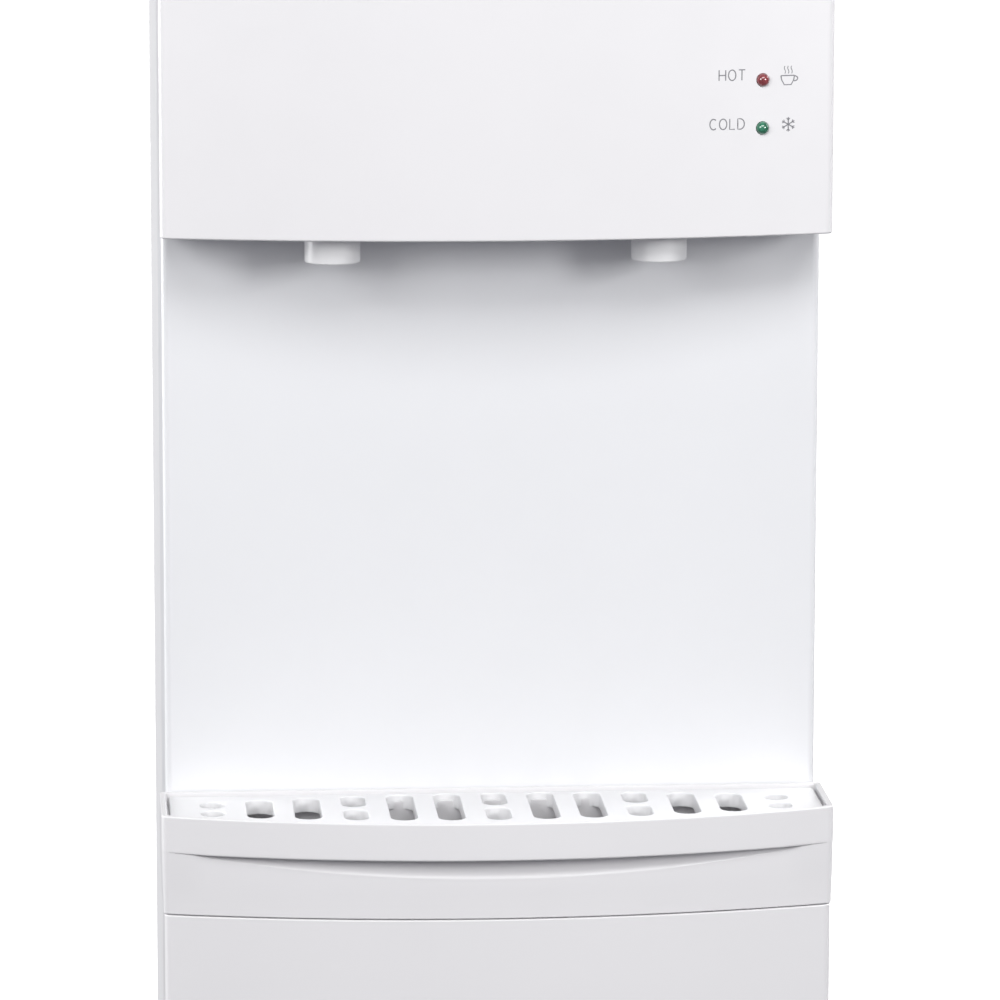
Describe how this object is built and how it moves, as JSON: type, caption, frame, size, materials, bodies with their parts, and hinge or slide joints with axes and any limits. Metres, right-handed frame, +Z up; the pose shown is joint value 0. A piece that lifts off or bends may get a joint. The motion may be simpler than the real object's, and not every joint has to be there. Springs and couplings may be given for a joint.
{
  "type": "countertop water dispenser",
  "caption": "Countertop hot and cold water dispenser with a bottle seat on top, nozzles under a bowed hood, an open recess and a pull-out drip tray with a slotted grate.",
  "frame": {"origin": "floor level, at the centre of the bounding box", "axes": "+Z up, -Y towards the user at the front, +X to the right as seen from the front"},
  "size_m": [0.274, 0.331, 0.569],
  "materials": {
    "white_shell": "satin white moulded plastic, fine texture",
    "recess_shell": "satin white moulded plastic",
    "white_steel": "white powder coat",
    "tray_plastic": "satin white moulded plastic",
    "grate_plastic": "satin white moulded plastic",
    "key_plastic": "satin",
    "nozzle_plastic": "satin",
    "collar_plastic": "satin",
    "base_plastic": "matte",
    "rubber": "matte",
    "seal_rubber": "matte silicone",
    "red_lens": "clear red",
    "green_lens": "clear green",
    "circuit": "solder mask",
    "zinc": "zinc plated",
    "stainless": "brushed",
    "galvanised": "galvanised sheet",
    "alloy": "extruded",
    "foam": "expanded foam",
    "hose": "translucent silicone",
    "ceramic_plate": "matte",
    "black_plastic": "matte",
    "heater": "mica and brass band",
    "lead": "insulated wire",
    "cap_plastic": "satin grey"
  },
  "bodies": {
    "cabinet": {"chassis_base": "base_plastic", "rubber_feet": "rubber", "side_panel_left": "white_steel", "side_panel_right": "white_steel", "rear_panel": "white_steel", "top_cover": "white_shell", "front_frame": "recess_shell", "hood": "white_shell", "case_screws": "zinc", "lower_front_panel": "white_shell", "hot_lens": "red_lens", "cold_lens": "green_lens", "indicator_board": "circuit", "tap_pins": "zinc", "hot_spring": "stainless", "cold_spring": "stainless", "hot_tap_body": "nozzle_plastic", "cold_tap_body": "nozzle_plastic", "tap_caps": "nozzle_plastic", "tap_gaskets": "seal_rubber", "tap_nuts": "zinc", "collar_seal": "seal_rubber", "cold_tank": "stainless", "tank_baffle": "base_plastic", "cold_insulation": "foam", "cold_shelf": "galvanised", "cold_block": "alloy", "peltier_module": "ceramic_plate", "heatsink": "alloy", "fan_frame": "black_plastic", "fan_screws": "zinc", "hot_tank": "stainless", "heater_band": "heater", "hot_insulation": "foam", "thermostats": "black_plastic", "hot_shelf": "galvanised", "feed_hose": "hose", "cold_hose": "hose", "hot_hose": "hose", "drain_hose": "hose", "drain_pipe": "base_plastic", "power_inlet": "black_plastic", "switch_housings": "black_plastic", "control_board": "circuit", "power_supply": "galvanised", "wiring": "lead"},
    "hot_key": {"hot_key": "key_plastic"},
    "cold_key": {"cold_key": "key_plastic"},
    "hot_lever": {"hot_lever": "nozzle_plastic"},
    "cold_lever": {"cold_lever": "nozzle_plastic"},
    "hot_stem": {"hot_stem": "stainless"},
    "cold_stem": {"cold_stem": "stainless"},
    "drip_tray": {"drip_tray": "tray_plastic"},
    "drip_grate": {"drip_grate": "grate_plastic"},
    "bottle_collar": {"bottle_collar": "collar_plastic", "feed_probe": "collar_plastic"},
    "fan_rotor": {"fan_rotor": "black_plastic"},
    "hot_rocker": {"hot_rocker": "black_plastic"},
    "cold_rocker": {"cold_rocker": "black_plastic"},
    "drain_cap": {"drain_cap": "cap_plastic"}
  },
  "joints": [
    {"name": "hot_key_push", "type": "slide", "parent": "cabinet", "child": "hot_key", "axis": [0, 1, 0], "range_m": [0, 0.005], "stiffness_N_per_m": 600, "springref_m": -0.002},
    {"name": "hot_lever_turn", "type": "hinge", "parent": "cabinet", "child": "hot_lever", "pos_m": [-0.066, -0.1075, 0.4741], "axis": [-1, 0, 0], "range_deg": [0, 13.4]},
    {"name": "hot_stem_lift", "type": "slide", "parent": "cabinet", "child": "hot_stem", "axis": [0, 0, 1], "range_m": [0, 0.003], "deforming": ["hot_spring"]},
    {"name": "cold_key_push", "type": "slide", "parent": "cabinet", "child": "cold_key", "axis": [0, 1, 0], "range_m": [0, 0.005], "stiffness_N_per_m": 600, "springref_m": -0.002},
    {"name": "cold_lever_turn", "type": "hinge", "parent": "cabinet", "child": "cold_lever", "pos_m": [0.066, -0.1075, 0.4741], "axis": [-1, 0, 0], "range_deg": [0, 13.4]},
    {"name": "cold_stem_lift", "type": "slide", "parent": "cabinet", "child": "cold_stem", "axis": [0, 0, 1], "range_m": [0, 0.003], "deforming": ["cold_spring"]},
    {"name": "drip_tray_slide", "type": "slide", "parent": "cabinet", "child": "drip_tray", "axis": [0, -1, 0], "range_m": [0, 0.09]},
    {"name": "drip_grate_lift", "type": "slide", "parent": "drip_tray", "child": "drip_grate", "axis": [0, 0, 1], "range_m": [0, 0.04]},
    {"name": "bottle_collar_lift", "type": "slide", "parent": "cabinet", "child": "bottle_collar", "axis": [0, 0, 1], "range_m": [0, 0.095]},
    {"name": "fan_spin", "type": "hinge", "parent": "cabinet", "child": "fan_rotor", "pos_m": [0, 0.1255, 0.455], "axis": [0, 1, 0], "continuous": true},
    {"name": "hot_rocker_tilt", "type": "hinge", "parent": "cabinet", "child": "hot_rocker", "pos_m": [-0.025, 0.1485, 0.15], "axis": [1, 0, 0], "range_deg": [0, 20]},
    {"name": "cold_rocker_tilt", "type": "hinge", "parent": "cabinet", "child": "cold_rocker", "pos_m": [0.025, 0.1485, 0.15], "axis": [1, 0, 0], "range_deg": [0, 20]},
    {"name": "drain_cap_pull", "type": "slide", "parent": "cabinet", "child": "drain_cap", "axis": [0, 1, 0], "range_m": [0, 0.02]}
  ],
  "couplings": [
    {"joint": "hot_lever_turn", "follows": "hot_key_push", "rad_per_m": 46.6},
    {"joint": "hot_stem_lift", "follows": "hot_key_push", "ratio": 0.6},
    {"joint": "cold_lever_turn", "follows": "cold_key_push", "rad_per_m": 46.6},
    {"joint": "cold_stem_lift", "follows": "cold_key_push", "ratio": 0.6}
  ]
}
